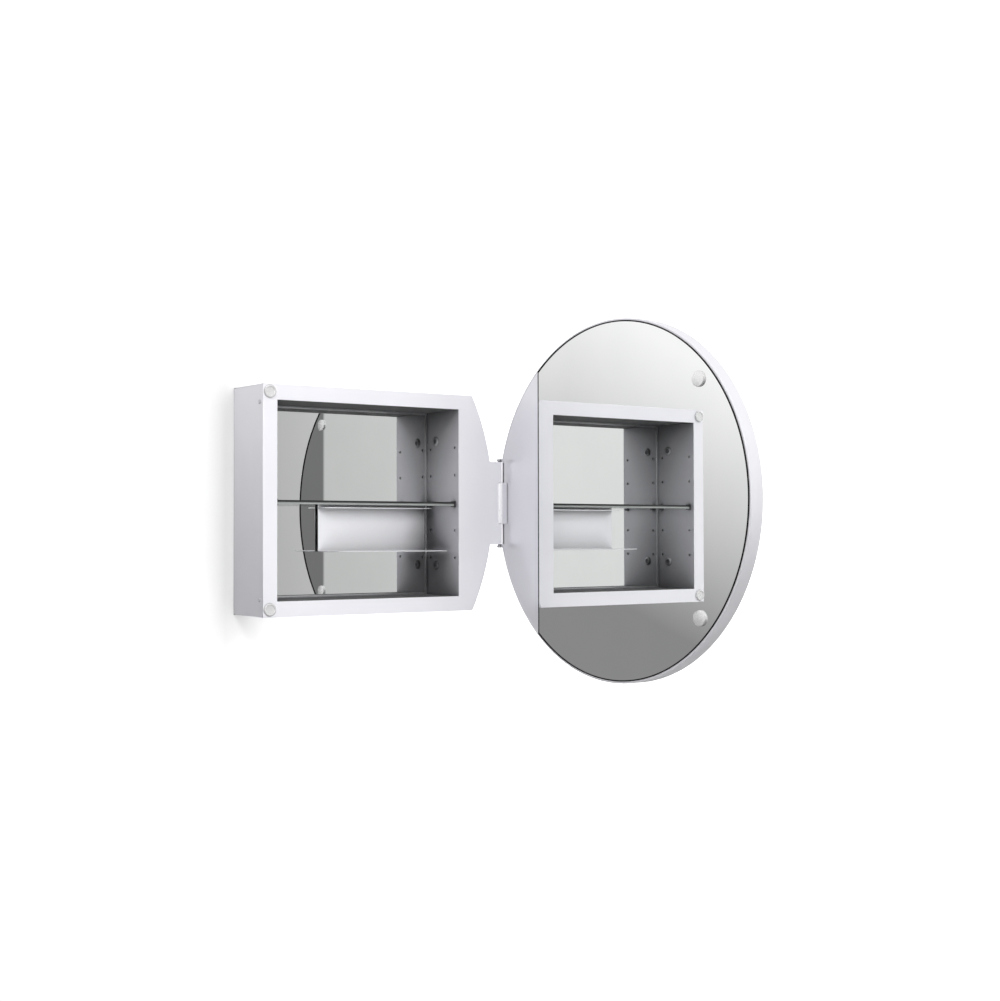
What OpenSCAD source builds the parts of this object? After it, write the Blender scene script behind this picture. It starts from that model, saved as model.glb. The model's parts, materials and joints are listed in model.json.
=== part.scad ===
// Wall-hung medicine cabinet with a round mirror door, shown with the door standing open.
// X runs along the wall, Y runs into the wall and Z points up. The origin is the middle of
// the cabinet's back, so the wall is the plane Y = 0 and the cabinet stands out toward -Y.

/* [Cabinet] */
// Width of the outer casing
body_w = 355; // [350:1:364]
// Height of the outer casing
body_h = 324; // [312:1:330]
// Depth from the wall to the front of the face frame
body_d = 88.5; // [84:0.5:110]
// Width of the front opening and of the inside
opening_w = 310; // [300:1:311]
// Height of the front opening and of the inside
opening_h = 280; // [270:1:284]
// Thickness of the sheet metal
sheet = 1.2; // [0.8:0.1:1.5]

/* [Door] */
// Diameter of the round door
door_d = 508; // [500:1:540]
// Thickness of the door
door_t = 22.5; // [18:0.5:26]
// Gap between the face frame and the closed door
door_gap = 6; // [5:0.5:8]
// Angle that the door stands open
door_open = 90.5; // [0:0.5:170]
// Distance from the door's middle to the straight edge of the hinge strip
strip_x = 158; // [150:1:190]

/* [Hinge] */
// Distance of the hinge axis from the cabinet's middle
hinge_x = 236; // [230:0.5:242]
// Outside diameter of the knuckles
barrel_d = 10; // [9:0.5:12]
// Diameter of the hinge pin
pin_d = 5; // [4:0.5:6]
// Height of each of the two cabinet knuckles
knuckle_h = 31.5; // [20:0.5:40]
// Height of the door's middle knuckle
mid_knuckle_h = 63; // [40:1:70]

/* [Shelf] */
// Thickness of the glass shelf
glass_t = 6; // [5:0.5:8]
// Depth of the glass shelf, front to back
glass_depth = 72; // [65:1:72]
// Vertical distance from one row of clip holes to the next
hole_pitch = 41.5; // [35:0.5:42]
// Diameter of the clip holes
hole_d = 4; // [3.8:0.1:5]

/* [Organiser] */
// Width of the organiser tray
tray_w = 190.5; // [120:0.5:200]
// Depth of the organiser tray
tray_depth = 60.4; // [40:0.2:64]
// Depth of the tray plate below the shelf holes' middle row
tray_drop = 73; // [60:1:100]

/* [Hidden] */
$fn = 64;
fine = 180;

// Face frame
frame_back = -body_d + sheet;
lobe_r = 353.5;
lobe_x = -134;
tab_half = mid_knuckle_h / 2 + knuckle_h;
lobe_start = 150;
return_w = 22;
return_depth = 16;
return_z = 137;

// Hinge
barrel_r = barrel_d / 2;
hinge_y = -body_d + barrel_r;
running_gap = 0.05;
knuckle_gap = 0.3;
notch_gap = 2.5;
bore_r = pin_d / 2 + running_gap;
mid_half = mid_knuckle_h / 2 - knuckle_gap;
plate_stop = 1;
head_r = 4.3;
head_h = 3.5;
neck_r = 3.3;
neck_h = 1.5;

// Screws and the bores that take them
thread_r = 2;
thread_play = 0.1;
cutter = 5;

// Casing and liner
half_w = body_w / 2;
half_h = body_h / 2;
in_w = opening_w / 2;
in_h = opening_h / 2;
back_t = 1;
mirror_t = 3;
mirror_edge = 1.4;
mirror_y = -back_t - mirror_t;
strip_lip = 3;
strip_t = 0.6;

// Clip holes, mounting screws and wall brackets
front_row_y = -body_d + 10.5;
back_row_y = -15;
hole_rows = [-2, -1, 0, 1, 2];
screw_y = -29;
screw_z = 95;
bracket_t = 2;
bracket_half = 115;
bracket_w = half_w - in_w - 2 * sheet - 0.6;
ear_low = 88;
ear_high = 110;
ear_depth = 40;
wall_hole_r = 2.75;
wall_hole_x = half_w - 11;
wall_hole_z = 60;
casing_screw_y = front_row_y;

// Tray
tray_t = 1.2;
tray_right = in_w - 7.5;
tray_back = mirror_y - 3.7;
tray_lip_top = 16;
tray_lip_low = 21;
tray_play = 0.2;

// Shelf: the tray's panel passes behind the glass
glass_back = tray_back - tray_t - 0.6;
glass_y = glass_back - glass_depth;
glass_z = -2;
glass_low = glass_z - glass_t / 2;
glass_high = glass_z + glass_t / 2;
glass_half = in_w - 2.5;
tray_lip_z = glass_low - 2.6;
clip_w = 6;
clip_lip = 5.5;
clip_t = 1.3;
clip_play = 0.1;
clip_pin_r = hole_d / 2 - 0.2;
clip_pin_l = 6;

// Door, given in its closed position
inner_y = -body_d - door_gap;
outer_y = inner_y - door_t;
door_r = door_d / 2;
rim_t = 1.5;
rim_lip = 3.2;
lip_t = 1.2;
gasket_w = 1.3;
gasket_proud = 1.5;
bead_proud = 0.6;
front_glass_t = 4;
inner_glass_t = 3;
floor_y = inner_y - inner_glass_t;
leaf_t = 1.5;
leaf_r = door_r - rim_lip;
seal_r = leaf_r - gasket_w;
line_gap = 1.2;
relief_x = hinge_x + 3.6;
relief_end = 0.5;
relief_depth = 8;
magnet_r = 9;
magnet_t = 2.8;
cup_wall = 2.4;
cup_chamfer = 0.8;
dish = 0.6;
strike_r = 10.5;
strike_t = door_gap - magnet_t - 0.3;
catch_x = -half_w + 10.5;
magnet_z = half_h - 11;
strike_z = half_h - 6.5;

// Box between two opposite corners
module box(low, high) {
    translate(low) cube(high - low);
}

// Round bar along X from x0 to x1
module bar_x(r, x0, x1, y, z) {
    translate([x0, y, z]) rotate([0, 90, 0]) cylinder(r = r, h = x1 - x0);
}

// Round bar along Y from y0 to y1, with y0 the lower value
module bar_y(r, y0, y1, x, z) {
    translate([x, y1, z]) rotate([90, 0, 0]) cylinder(r = r, h = y1 - y0);
}

// Sheet in the XZ plane with its front at front_y, extruded toward the wall
module upright_sheet(front_y, thickness) {
    translate([0, front_y + thickness, 0]) rotate([90, 0, 0]) linear_extrude(thickness) children();
}

// Turns a door piece from its closed position to where the door stands
module on_door() {
    translate([hinge_x, hinge_y, 0]) rotate([0, 0, door_open])
        translate([-hinge_x, -hinge_y, 0]) children();
}

// Ring or disc about the door's middle: children are its (radius, y) section
module door_turned() {
    rotate([-90, 0, 0]) rotate_extrude($fn = fine) children();
}

// One knuckle of the hinge, without its bore
module knuckle(z0, z1) {
    translate([hinge_x, hinge_y, z0]) cylinder(r = barrel_r, h = z1 - z0);
}

module hinge_bore() {
    translate([hinge_x, hinge_y, -tab_half - 1]) cylinder(r = bore_r, h = 2 * tab_half + 2);
}

// Outline of the face frame: a rectangle whose hinge side swells out in an arc to the hinge tab
module frame_outline() {
    difference() {
        union() {
            square([body_w, body_h], center = true);
            intersection() {
                translate([lobe_x, 0]) circle(r = lobe_r, $fn = fine);
                translate([lobe_start, -half_h]) square([body_w, body_h]);
            }
            translate([lobe_start, -tab_half]) square([hinge_x - plate_stop - lobe_start, 2 * tab_half]);
        }
        square([opening_w, opening_h], center = true);
        translate([hinge_x - barrel_r - notch_gap, -mid_knuckle_h / 2])
            square([2 * barrel_d, mid_knuckle_h]);
    }
}

module face_frame() {
    color("gainsboro") difference() {
        union() {
            upright_sheet(-body_d, sheet) frame_outline();
            for (end = [0, 1]) mirror([0, 0, end]) knuckle(mid_knuckle_h / 2, tab_half);
            for (side = [-1, 1], end = [-1, 1]) frame_return(side, end);
        }
        hinge_bore();
        for (side = [-1, 1], end = [-1, 1]) casing_screw_hole(side, end);
    }
}

// Ear bent back from the frame, which the casing's side is screwed to
module frame_return(side, end) {
    x_out = half_w - sheet;
    translate([side * (x_out - sheet / 2), frame_back + return_depth / 2 - sheet / 2, end * return_z])
        cube([sheet, return_depth + sheet, return_w], center = true);
}

module casing_screw_hole(side, end) {
    bar_x(thread_r + thread_play, side * half_w - cutter, side * half_w + cutter,
          casing_screw_y, end * return_z);
}

module casing_lid(side) {
    color("silver") box([-half_w, frame_back, side > 0 ? half_h - sheet : -half_h],
                        [half_w, 0, side > 0 ? half_h : -half_h + sheet]);
}

module casing_side(side) {
    color("silver") difference() {
        translate([side * (half_w - sheet / 2), frame_back / 2, 0])
            cube([sheet, -frame_back, body_h - 2 * sheet], center = true);
        for (end = [-1, 1]) casing_screw_hole(side, end);
    }
}

module liner_lid(side) {
    color("darkgray") box([-in_w - sheet, frame_back, side > 0 ? in_h : -in_h - sheet],
                          [in_w + sheet, -back_t, side > 0 ? in_h + sheet : -in_h]);
}

// Side of the liner, with two columns of clip holes and two mounting holes
module liner_side(side) {
    color("darkgray") difference() {
        translate([side * (in_w + sheet / 2), (frame_back - back_t) / 2, 0])
            cube([sheet, -frame_back - back_t, opening_h], center = true);
        for (y = [front_row_y, back_row_y], row = hole_rows)
            bar_x(hole_d / 2, side * in_w - cutter, side * in_w + cutter, y, row * hole_pitch);
        for (end = [-1, 1])
            bar_x(thread_r + 3 * thread_play, side * in_w - cutter, side * in_w + cutter,
                  screw_y, end * screw_z);
    }
}

module back_panel() {
    color("gray") box([-in_w - sheet, -back_t, -in_h - sheet], [in_w + sheet, 0, in_h + sheet]);
}

module back_mirror() {
    color("lightcyan") box([-in_w + mirror_edge, mirror_y, -in_h + mirror_edge],
                           [in_w - mirror_edge, -back_t, in_h - mirror_edge]);
}

// L-shaped strip that holds one edge of the mirror, along X above the origin
module mirror_strip(length) {
    color("whitesmoke") {
        box([-length / 2, mirror_y - strip_t, -strip_lip], [length / 2, mirror_y, 0]);
        box([-length / 2, mirror_y, -mirror_edge + 0.2], [length / 2, -back_t, 0]);
    }
}

module mirror_strip_flat(side) {
    mirror([0, 0, side > 0 ? 0 : 1]) translate([0, 0, in_h]) mirror_strip(opening_w);
}

module mirror_strip_upright(side) {
    mirror([side > 0 ? 0 : 1, 0, 0]) translate([in_w, 0, 0]) rotate([0, 90, 0])
        mirror_strip(opening_h - 2 * strip_lip);
}

// Bracket that is screwed to the wall first, with two ears for the mounting screws
module wall_bracket(side) {
    color("slategray") mirror([side > 0 ? 0 : 1, 0, 0]) difference() {
        union() {
            box([in_w + sheet, -bracket_t, -bracket_half], [in_w + sheet + bracket_w, 0, bracket_half]);
            for (end = [-1, 1]) mirror([0, 0, end > 0 ? 0 : 1])
                box([in_w + sheet, -ear_depth, ear_low], [in_w + sheet + bracket_t, 0, ear_high]);
        }
        for (end = [-1, 1]) {
            bar_y(wall_hole_r, -bracket_t - 1, 1, wall_hole_x, end * wall_hole_z);
            bar_x(thread_r + thread_play, in_w, in_w + cutter, screw_y, end * screw_z);
        }
    }
}

// Countersunk screw along X, head inside the cabinet
module mounting_screw() {
    head_radius = 3.6;
    head_top = -2.2;
    edge = 0.3;
    tip = 7;
    cone = head_radius - thread_r;
    rotate([0, 90, 0]) rotate_extrude() polygon([
        [0, head_top], [head_radius, head_top], [head_radius, head_top + edge],
        [thread_r, head_top + edge + cone], [thread_r, tip], [0, tip]
    ]);
}

module mounting_screws() {
    color("dimgray") for (side = [0, 1], end = [-1, 1]) mirror([side, 0, 0])
        translate([in_w, screw_y, end * screw_z]) mounting_screw();
}

// Dished washer under each mounting screw
module cup_washer() {
    bore = thread_r + 2 * thread_play;
    cup_low = 0.25;
    cup_high = 1.95;
    cup_r = bore + cup_high - cup_low;
    crest = 0.7;
    outer = 7;
    edge = 0.6;
    rotate([0, 90, 0]) rotate_extrude() polygon([
        [bore, 0], [bore, -cup_low], [cup_r, -cup_high], [cup_r + crest, -cup_high],
        [outer, -edge], [outer, 0]
    ]);
}

module cup_washers() {
    color("silver") for (side = [0, 1], end = [-1, 1]) mirror([side, 0, 0])
        translate([in_w, screw_y, end * screw_z]) cup_washer();
}

// Low-headed screw along X, head outside the casing
module casing_screw() {
    length = 5;
    head_radius = 3.2;
    crown = 2.4;
    head = 1;
    rotate([0, 90, 0]) rotate_extrude() polygon([
        [0, -length], [thread_r, -length], [thread_r, 0], [head_radius, 0],
        [head_radius, head / 2], [crown, head], [0, head]
    ]);
}

module casing_screws() {
    color("dimgray") for (side = [0, 1], end = [-1, 1]) mirror([side, 0, 0])
        translate([half_w, casing_screw_y, end * return_z]) casing_screw();
}

// Magnet in a round steel cup with a shallow dish in its face
module catch_magnets() {
    color("lightgray") for (end = [-1, 1]) translate([catch_x, -body_d, end * magnet_z])
        rotate([90, 0, 0]) rotate_extrude() polygon([
            [0, 0], [magnet_r, 0], [magnet_r, magnet_t - cup_chamfer],
            [magnet_r - cup_chamfer, magnet_t], [magnet_r - cup_wall, magnet_t],
            [magnet_r - cup_wall - dish, magnet_t - dish], [0, magnet_t - dish]
        ]);
}

module glass_shelf() {
    color("lightblue") box([-glass_half, glass_y, glass_low], [glass_half, glass_back, glass_high]);
}

// Clip that holds the glass in a slot and stands on a pin in the liner's hole
module shelf_clip(y) {
    slot_low = glass_low - clip_play;
    slot_high = glass_high + clip_play;
    difference() {
        box([in_w - clip_lip, y - clip_w / 2, slot_low - clip_t],
            [in_w, y + clip_w / 2, slot_high + clip_t]);
        box([in_w - clip_lip - 1, y - clip_w, slot_low], [glass_half + clip_play, y + clip_w, slot_high]);
    }
    bar_x(clip_pin_r, in_w - 1, in_w + clip_pin_l, y, 0);
}

module shelf_clips() {
    color("whitesmoke") for (side = [0, 1], y = [front_row_y, back_row_y])
        mirror([side, 0, 0]) shelf_clip(y);
}

module hinge_pin() {
    color("gray") translate([hinge_x, hinge_y, 0]) {
        translate([0, 0, -tab_half]) cylinder(r = pin_d / 2, h = 2 * tab_half);
        for (side = [0, 1]) mirror([0, 0, side]) translate([0, 0, tab_half]) {
            cylinder(r = neck_r, h = neck_h);
            translate([0, 0, neck_h]) cylinder(r = head_r, h = head_h);
        }
    }
}

// Folded tray: it hooks over the back edge of the glass and hangs below it
module organiser_tray() {
    left = tray_right - tray_w;
    top_z = glass_high + tray_play;
    front = tray_back - tray_t;
    color("white") {
        box([left, front, -tray_drop], [tray_right, tray_back, top_z + tray_t]);
        box([left, tray_back - tray_lip_top, top_z], [tray_right, tray_back, top_z + tray_t]);
        box([left, tray_back - tray_lip_low, tray_lip_z - tray_t], [tray_right, tray_back, tray_lip_z]);
        box([left, tray_back - tray_depth, -tray_drop], [tray_right, tray_back, -tray_drop + tray_t]);
    }
}

// Channel-shaped rim around the door
module door_rim() {
    color("silver") on_door() door_turned() difference() {
        translate([door_r - rim_lip, outer_y]) square([rim_lip, door_t]);
        translate([door_r - rim_lip - 1, outer_y + lip_t])
            square([rim_lip + 1 - rim_t, door_t - 2 * lip_t]);
    }
}

// Pockets that keep the leaf clear of the two cabinet knuckles
module knuckle_reliefs() {
    for (end = [0, 1]) mirror([0, 0, end])
        box([relief_x, inner_y - relief_depth, mid_knuckle_h / 2 + relief_end],
            [door_r, inner_y + 1, tab_half - relief_end]);
}

module front_mirror() {
    color("lightcyan") on_door()
        bar_y(door_r - rim_t, outer_y + lip_t, outer_y + lip_t + front_glass_t, 0, 0, $fn = fine);
}

// Backing board, raised by the glass thickness less the leaf under the hinge strip
module door_core() {
    color("tan") on_door() difference() {
        union() {
            bar_y(door_r - rim_t, outer_y + lip_t + front_glass_t, floor_y, 0, 0, $fn = fine);
            intersection() {
                bar_y(leaf_r, floor_y, inner_y - leaf_t, 0, 0, $fn = fine);
                box([strip_x, floor_y - 1, -door_r], [door_r, inner_y, door_r]);
            }
        }
        knuckle_reliefs();
    }
}

module inner_mirror() {
    color("lightcyan") on_door() difference() {
        bar_y(seal_r, floor_y, inner_y, 0, 0, $fn = fine);
        box([strip_x - line_gap, inner_y - 2 * inner_glass_t, -door_r], [door_r, inner_y + 1, door_r]);
    }
}

// Black seal round the inner mirror: a ring with a foot under the rim's lip, which stops at the
// hinge strip, and a straight bead along the strip
module door_gasket() {
    color("black") on_door() {
        difference() {
            door_turned() polygon([
                [seal_r, floor_y], [door_r - rim_t, floor_y], [door_r - rim_t, inner_y - lip_t],
                [leaf_r, inner_y - lip_t], [leaf_r, inner_y + gasket_proud],
                [seal_r, inner_y + gasket_proud]
            ]);
            box([strip_x, outer_y, -door_r], [door_r, 0, door_r]);
        }
        intersection() {
            bar_y(leaf_r - gasket_w / 2, floor_y, inner_y + bead_proud, 0, 0, $fn = fine);
            box([strip_x - line_gap, floor_y - 1, -door_r], [strip_x, inner_y + 1, door_r]);
        }
    }
}

// Steel leaf set in the door's hinge side, with the leg and middle knuckle of the hinge
module hinge_strip() {
    leg_x = hinge_x - barrel_r;
    color("gainsboro") on_door() difference() {
        union() {
            intersection() {
                bar_y(leaf_r, inner_y - leaf_t, inner_y, 0, 0, $fn = fine);
                box([strip_x, inner_y - 2 * leaf_t, -door_r], [door_r, inner_y + 1, door_r]);
            }
            box([leg_x, inner_y - leaf_t / 2, -mid_half], [leg_x + sheet, hinge_y - plate_stop, mid_half]);
            knuckle(-mid_half, mid_half);
        }
        hinge_bore();
        knuckle_reliefs();
    }
}

module strike_discs() {
    color("lightgray") on_door() for (end = [-1, 1])
        bar_y(strike_r, inner_y, inner_y + strike_t, catch_x, end * strike_z);
}

face_frame();
casing_lid(1);  // casing_top
casing_lid(-1);  // casing_bottom
casing_side(-1);  // casing_left
casing_side(1);  // casing_right
liner_lid(1);  // liner_top
liner_lid(-1);  // liner_bottom
liner_side(-1);  // liner_left
liner_side(1);  // liner_right
back_panel();
back_mirror();
mirror_strip_flat(1);  // mirror_strip_top
mirror_strip_flat(-1);  // mirror_strip_bottom
mirror_strip_upright(-1);  // mirror_strip_left
mirror_strip_upright(1);  // mirror_strip_right
wall_bracket(-1);  // wall_bracket_left
wall_bracket(1);  // wall_bracket_right
mounting_screws();
cup_washers();
casing_screws();
catch_magnets();
glass_shelf();
shelf_clips();
hinge_pin();
organiser_tray();
door_rim();
front_mirror();
door_core();
inner_mirror();
door_gasket();
hinge_strip();
strike_discs();
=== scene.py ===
"""Looks of a wall-hung medicine cabinet with a round mirror door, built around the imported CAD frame.

Everything is in metres in the row frame: X along the wall, Y into the wall, Z up, wall at Y = 0.
Door pieces are drawn with the door closed and then turned about the hinge to where it stands.
"""
import json
import math

import bmesh
import bpy
from mathutils import Matrix, Vector

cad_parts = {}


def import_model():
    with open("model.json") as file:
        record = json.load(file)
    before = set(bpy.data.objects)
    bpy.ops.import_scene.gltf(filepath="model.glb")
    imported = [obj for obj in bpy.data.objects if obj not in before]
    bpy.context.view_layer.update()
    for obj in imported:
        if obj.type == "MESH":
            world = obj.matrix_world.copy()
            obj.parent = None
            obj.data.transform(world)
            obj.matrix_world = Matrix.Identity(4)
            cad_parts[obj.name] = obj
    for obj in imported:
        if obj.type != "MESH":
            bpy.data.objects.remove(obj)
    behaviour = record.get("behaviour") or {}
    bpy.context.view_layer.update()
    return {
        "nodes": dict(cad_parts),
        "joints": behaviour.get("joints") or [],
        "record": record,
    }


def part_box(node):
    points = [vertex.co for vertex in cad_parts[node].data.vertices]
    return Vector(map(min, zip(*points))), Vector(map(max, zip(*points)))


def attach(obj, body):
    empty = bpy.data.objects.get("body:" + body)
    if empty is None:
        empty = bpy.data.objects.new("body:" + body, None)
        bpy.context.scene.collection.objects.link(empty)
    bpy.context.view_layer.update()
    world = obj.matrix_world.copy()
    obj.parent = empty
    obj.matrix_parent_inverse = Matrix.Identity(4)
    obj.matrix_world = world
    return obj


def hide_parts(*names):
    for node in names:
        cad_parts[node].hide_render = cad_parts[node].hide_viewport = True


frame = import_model()

MM = 0.001
X, Y, Z = Vector((1, 0, 0)), Vector((0, 1, 0)), Vector((0, 0, 1))

# ---------------------------------------------------------------- sizes taken from the frame

half_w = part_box("casing_right")[1].x
half_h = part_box("casing_top")[1].z
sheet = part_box("casing_top")[1].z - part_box("casing_top")[0].z
in_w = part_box("liner_right")[0].x
in_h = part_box("liner_top")[0].z
front_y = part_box("face_frame")[0].y
frame_back = front_y + sheet

hinge_joint = next(j for j in frame["joints"] if j["name"] == "door_hinge")
hinge_axis = Vector(hinge_joint["pos_m"])
door_open = math.radians(-hinge_joint["range_deg"][0])
barrel_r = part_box("face_frame")[1].x - hinge_axis.x

clip_holes = next(m for m in frame["record"]["mounts"] if m["name"] == "clip_holes_right_far")
clip_middle, clip_pitch = clip_holes["pos_m"][1], clip_holes["dims"]["spacing_x_mm"] / 2 * MM
clip_columns = (clip_middle - clip_pitch, clip_middle + clip_pitch)
clip_hole_r = clip_holes["dims"]["hole_r_mm"] * MM

# Sizes that a node's box doesn't give: the face frame's arc, tab and notch, the knuckles, the casing's
# returns and holes, and the line where the door's inner mirror ends
lobe_r = 353.5 * MM
lobe_x = -134 * MM
tab_half = 63 * MM
mid_knuckle = 63 * MM
knuckle_gap = 0.3 * MM
notch_gap = 2.5 * MM
barrel_bite = 1 * MM
pin_r = 2.5 * MM
pin_play = 0.05 * MM
return_z = 137 * MM
return_w = 22 * MM
return_depth = 16 * MM
return_corner = 2 * MM
hole_row = 41.5 * MM
hole_rows = range(-2, 3)
screw_r = 2 * MM
screw_play = 0.1 * MM
mounting_play = 0.3 * MM
strip_x = 158 * MM
line_gap = 1.2 * MM
relief_x = 239.6 * MM
relief_end = 0.5 * MM

# Door, closed
door_r = (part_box("door_rim")[1].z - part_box("door_rim")[0].z) / 2
door_t = 22.5 * MM
door_gap = 6 * MM
inner_y = front_y - door_gap
outer_y = inner_y - door_t
rim_t = 1.5 * MM
rim_lip = 3.2 * MM
lip_t = 1.2 * MM
gasket_w = 1.3 * MM
gasket_proud = 1.5 * MM
bead_proud = 0.6 * MM
leaf_r = door_r - rim_lip
seal_r = leaf_r - gasket_w
inner_glass_t = 3 * MM
front_glass_t = 4 * MM
leaf_t = 1.5 * MM
leaf_edge = 0.6 * MM
door_turn = (
    Matrix.Translation(hinge_axis) @ Matrix.Rotation(door_open, 4, "Z") @ Matrix.Translation(-hinge_axis)
)

# Soft edges of the sheet metal, of its hidden and folded parts, and of the glass
sheet_edge = 0.35 * MM
fine_edge = 0.2 * MM
glass_edge = 0.5 * MM

# Steps round a whole turn of the door
door_steps = 256


# ---------------------------------------------------------------- outlines

TINY = 1e-9
NEARLY_STRAIGHT = math.radians(178)
NEARLY_HALF = 0.49
SHARPEST_MITRE = 0.3


def arc(cx, cy, r, start, end, steps):
    """Points on an arc from start to end, in degrees, both ends included."""
    return [
        (cx + r * math.cos(a), cy + r * math.sin(a))
        for a in (math.radians(start + (end - start) * i / steps) for i in range(steps + 1))
    ]


def circle(cx, cy, r, steps, hole=False):
    """A closed round loop, clockwise for a hole."""
    points = arc(cx, cy, r, 0, 360, steps)[:-1]
    return points[::-1] if hole else points


def rectangle(x0, y0, x1, y1, hole=False):
    """A closed rectangular loop, clockwise for a hole."""
    points = [(x0, y0), (x1, y0), (x1, y1), (x0, y1)]
    return points[::-1] if hole else points


def rounded(points, radius=0, steps=4):
    """The closed outline with each corner turned into an arc of that radius; a point may carry its own."""
    result = []
    count = len(points)
    for i in range(count):
        here = Vector(points[i][:2])
        r = points[i][2] if len(points[i]) > 2 else radius
        before = Vector(points[i - 1][:2]) - here
        after = Vector(points[(i + 1) % count][:2]) - here
        turn = before.angle(after, math.pi)
        if r <= 0 or turn > NEARLY_STRAIGHT:
            result.append(tuple(here))
            continue
        reach = min(r / math.tan(turn / 2), before.length * NEARLY_HALF, after.length * NEARLY_HALF)
        r = reach * math.tan(turn / 2)
        centre = here + (before.normalized() + after.normalized()).normalized() * (r / math.sin(turn / 2))
        a = here + before.normalized() * reach - centre
        b = here + after.normalized() * reach - centre
        sweep = a.angle_signed(b)
        for k in range(steps + 1):
            spin = Matrix.Rotation(-sweep * k / steps, 2)
            result.append(tuple(centre + spin @ a))
    return result


def inset(loop, depth):
    """The loop moved to its left by depth, mitred at the corners."""
    moved = []
    count = len(loop)
    for i in range(count):
        p, here, q = Vector(loop[i - 1]), Vector(loop[i]), Vector(loop[(i + 1) % count])
        u, v = (here - p).normalized(), (q - here).normalized()
        n, m = Vector((-u.y, u.x)), Vector((-v.y, v.x))
        mitre = n + m
        mitre = n if mitre.length < 1e-6 else mitre.normalized()
        moved.append(tuple(here + mitre * (depth / max(mitre.dot(n), SHARPEST_MITRE))))
    return moved


# ---------------------------------------------------------------- meshes

def plate(loops, thickness, edge, steps=3):
    """A flat plate with holes and softened edges, its outline in local X and Y, from z = 0 to its thickness.
    The outer loop runs counterclockwise and the holes clockwise, so that metal is on the left."""
    bm = bmesh.new()
    caps = {0: [], 1: []}
    levels = [(edge * (1 - math.sin(a)), edge * (1 - math.cos(a)))
              for a in (math.pi / 2 * k / steps for k in range(steps + 1))]
    for loop in loops:
        rings = []
        for depth, height in levels:
            rings.append([bm.verts.new((x, y, height)) for x, y in inset(loop, depth)])
        for depth, height in reversed(levels):
            rings.append([bm.verts.new((x, y, thickness - height)) for x, y in inset(loop, depth)])
        count = len(loop)
        for low, high in zip(rings, rings[1:]):
            for i in range(count):
                j = (i + 1) % count
                face = bm.faces.new((low[i], low[j], high[j], high[i]))
                face.smooth = True
        for end, ring in ((0, rings[0]), (1, rings[-1])):
            caps[end] += [bm.edges.get((ring[i], ring[(i + 1) % count])) for i in range(count)]
    for end in (0, 1):
        made = bmesh.ops.triangle_fill(bm, edges=caps[end], use_beauty=True, use_dissolve=False)
        for item in made["geom"]:
            if isinstance(item, bmesh.types.BMFace):
                item.smooth = False
                item.material_index = 1
    bmesh.ops.recalc_face_normals(bm, faces=bm.faces)
    return bm


def turned(section, segments):
    """A piece turned about local Z from its (radius, z) section. A section that meets the axis starts and
    ends on it, and any other section is a closed ring."""
    bm = bmesh.new()
    on_axis = section[0][0] <= TINY
    rows = []
    for r, z in section:
        if r <= TINY:
            rows.append([bm.verts.new((0, 0, z))])
        else:
            angles = (2 * math.pi * k / segments for k in range(segments))
            rows.append([bm.verts.new((r * math.cos(a), r * math.sin(a), z)) for a in angles])
    pairs = list(zip(rows, rows[1:]))
    if not on_axis:
        pairs.append((rows[-1], rows[0]))
    for low, high in pairs:
        for k in range(segments):
            n = (k + 1) % segments
            corners = [low[k % len(low)], low[n % len(low)], high[n % len(high)], high[k % len(high)]]
            corners = [c for i, c in enumerate(corners) if c not in corners[:i]]
            if len(corners) > 2:
                bm.faces.new(corners).smooth = True
    bmesh.ops.recalc_face_normals(bm, faces=bm.faces)
    return bm


def swept(section, start, steps):
    """A closed (radius, y) section swept round the door's middle, the long way from start to -start degrees,
    with its two ends closed."""
    bm = bmesh.new()
    rows = []
    for k in range(steps + 1):
        a = math.radians(start + (360 - 2 * start) * k / steps)
        rows.append([bm.verts.new((r * math.cos(a), y, r * math.sin(a))) for r, y in section])
    for low, high in zip(rows, rows[1:]):
        for i in range(len(section)):
            bm.faces.new((low[i - 1], low[i], high[i], high[i - 1])).smooth = True
    bm.faces.new(rows[0])
    bm.faces.new(rows[-1][::-1])
    bmesh.ops.recalc_face_normals(bm, faces=bm.faces)
    return bm


def placed(bm, origin, x_axis, y_axis, z_axis):
    """Moves a mesh from its local axes to the given ones, which may be left-handed."""
    matrix = Matrix.Identity(4)
    for column, axis in enumerate((x_axis, y_axis, z_axis)):
        for row in range(3):
            matrix[row][column] = axis[row]
    matrix.translation = origin
    bm.transform(matrix)
    if matrix.determinant() < 0:
        bmesh.ops.reverse_faces(bm, faces=bm.faces)
    return bm


def mesh_from(bm, name):
    """Turns the working mesh into a finished one, and frees it."""
    mesh = bpy.data.meshes.new(name)
    bm.to_mesh(mesh)
    bm.free()
    return mesh


def linked(name, data):
    """A new object in the scene that shows this data."""
    obj = bpy.data.objects.new(name, data)
    bpy.context.scene.collection.objects.link(obj)
    return obj


def merged(parts):
    """One mesh that holds them all."""
    whole = bmesh.new()
    for part in parts:
        mesh = mesh_from(part, "part")
        whole.from_mesh(mesh)
        bpy.data.meshes.remove(mesh)
    return whole


def piece(name, bm, materials, body, cad_node, on_door=False):
    """Makes the finished object, puts it on its body and hides the CAD node that it stands for."""
    if on_door:
        bm.transform(door_turn)
    mesh = mesh_from(bm, name)
    for material in materials:
        mesh.materials.append(material)
    obj = linked(name, mesh)
    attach(obj, body)
    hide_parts(cad_node)
    return obj


def upright(loops, y0, thickness, edge):
    """A plate in the XZ plane, its front at y0 and its thickness toward the wall."""
    return placed(plate(loops, thickness, edge), Vector((0, y0, 0)), X, Z, Y)


def sideways(loops, x0, thickness, edge):
    """A plate in the YZ plane, from x0 on toward +X."""
    return placed(plate(loops, thickness, edge), Vector((x0, 0, 0)), Y, Z, X)


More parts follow.
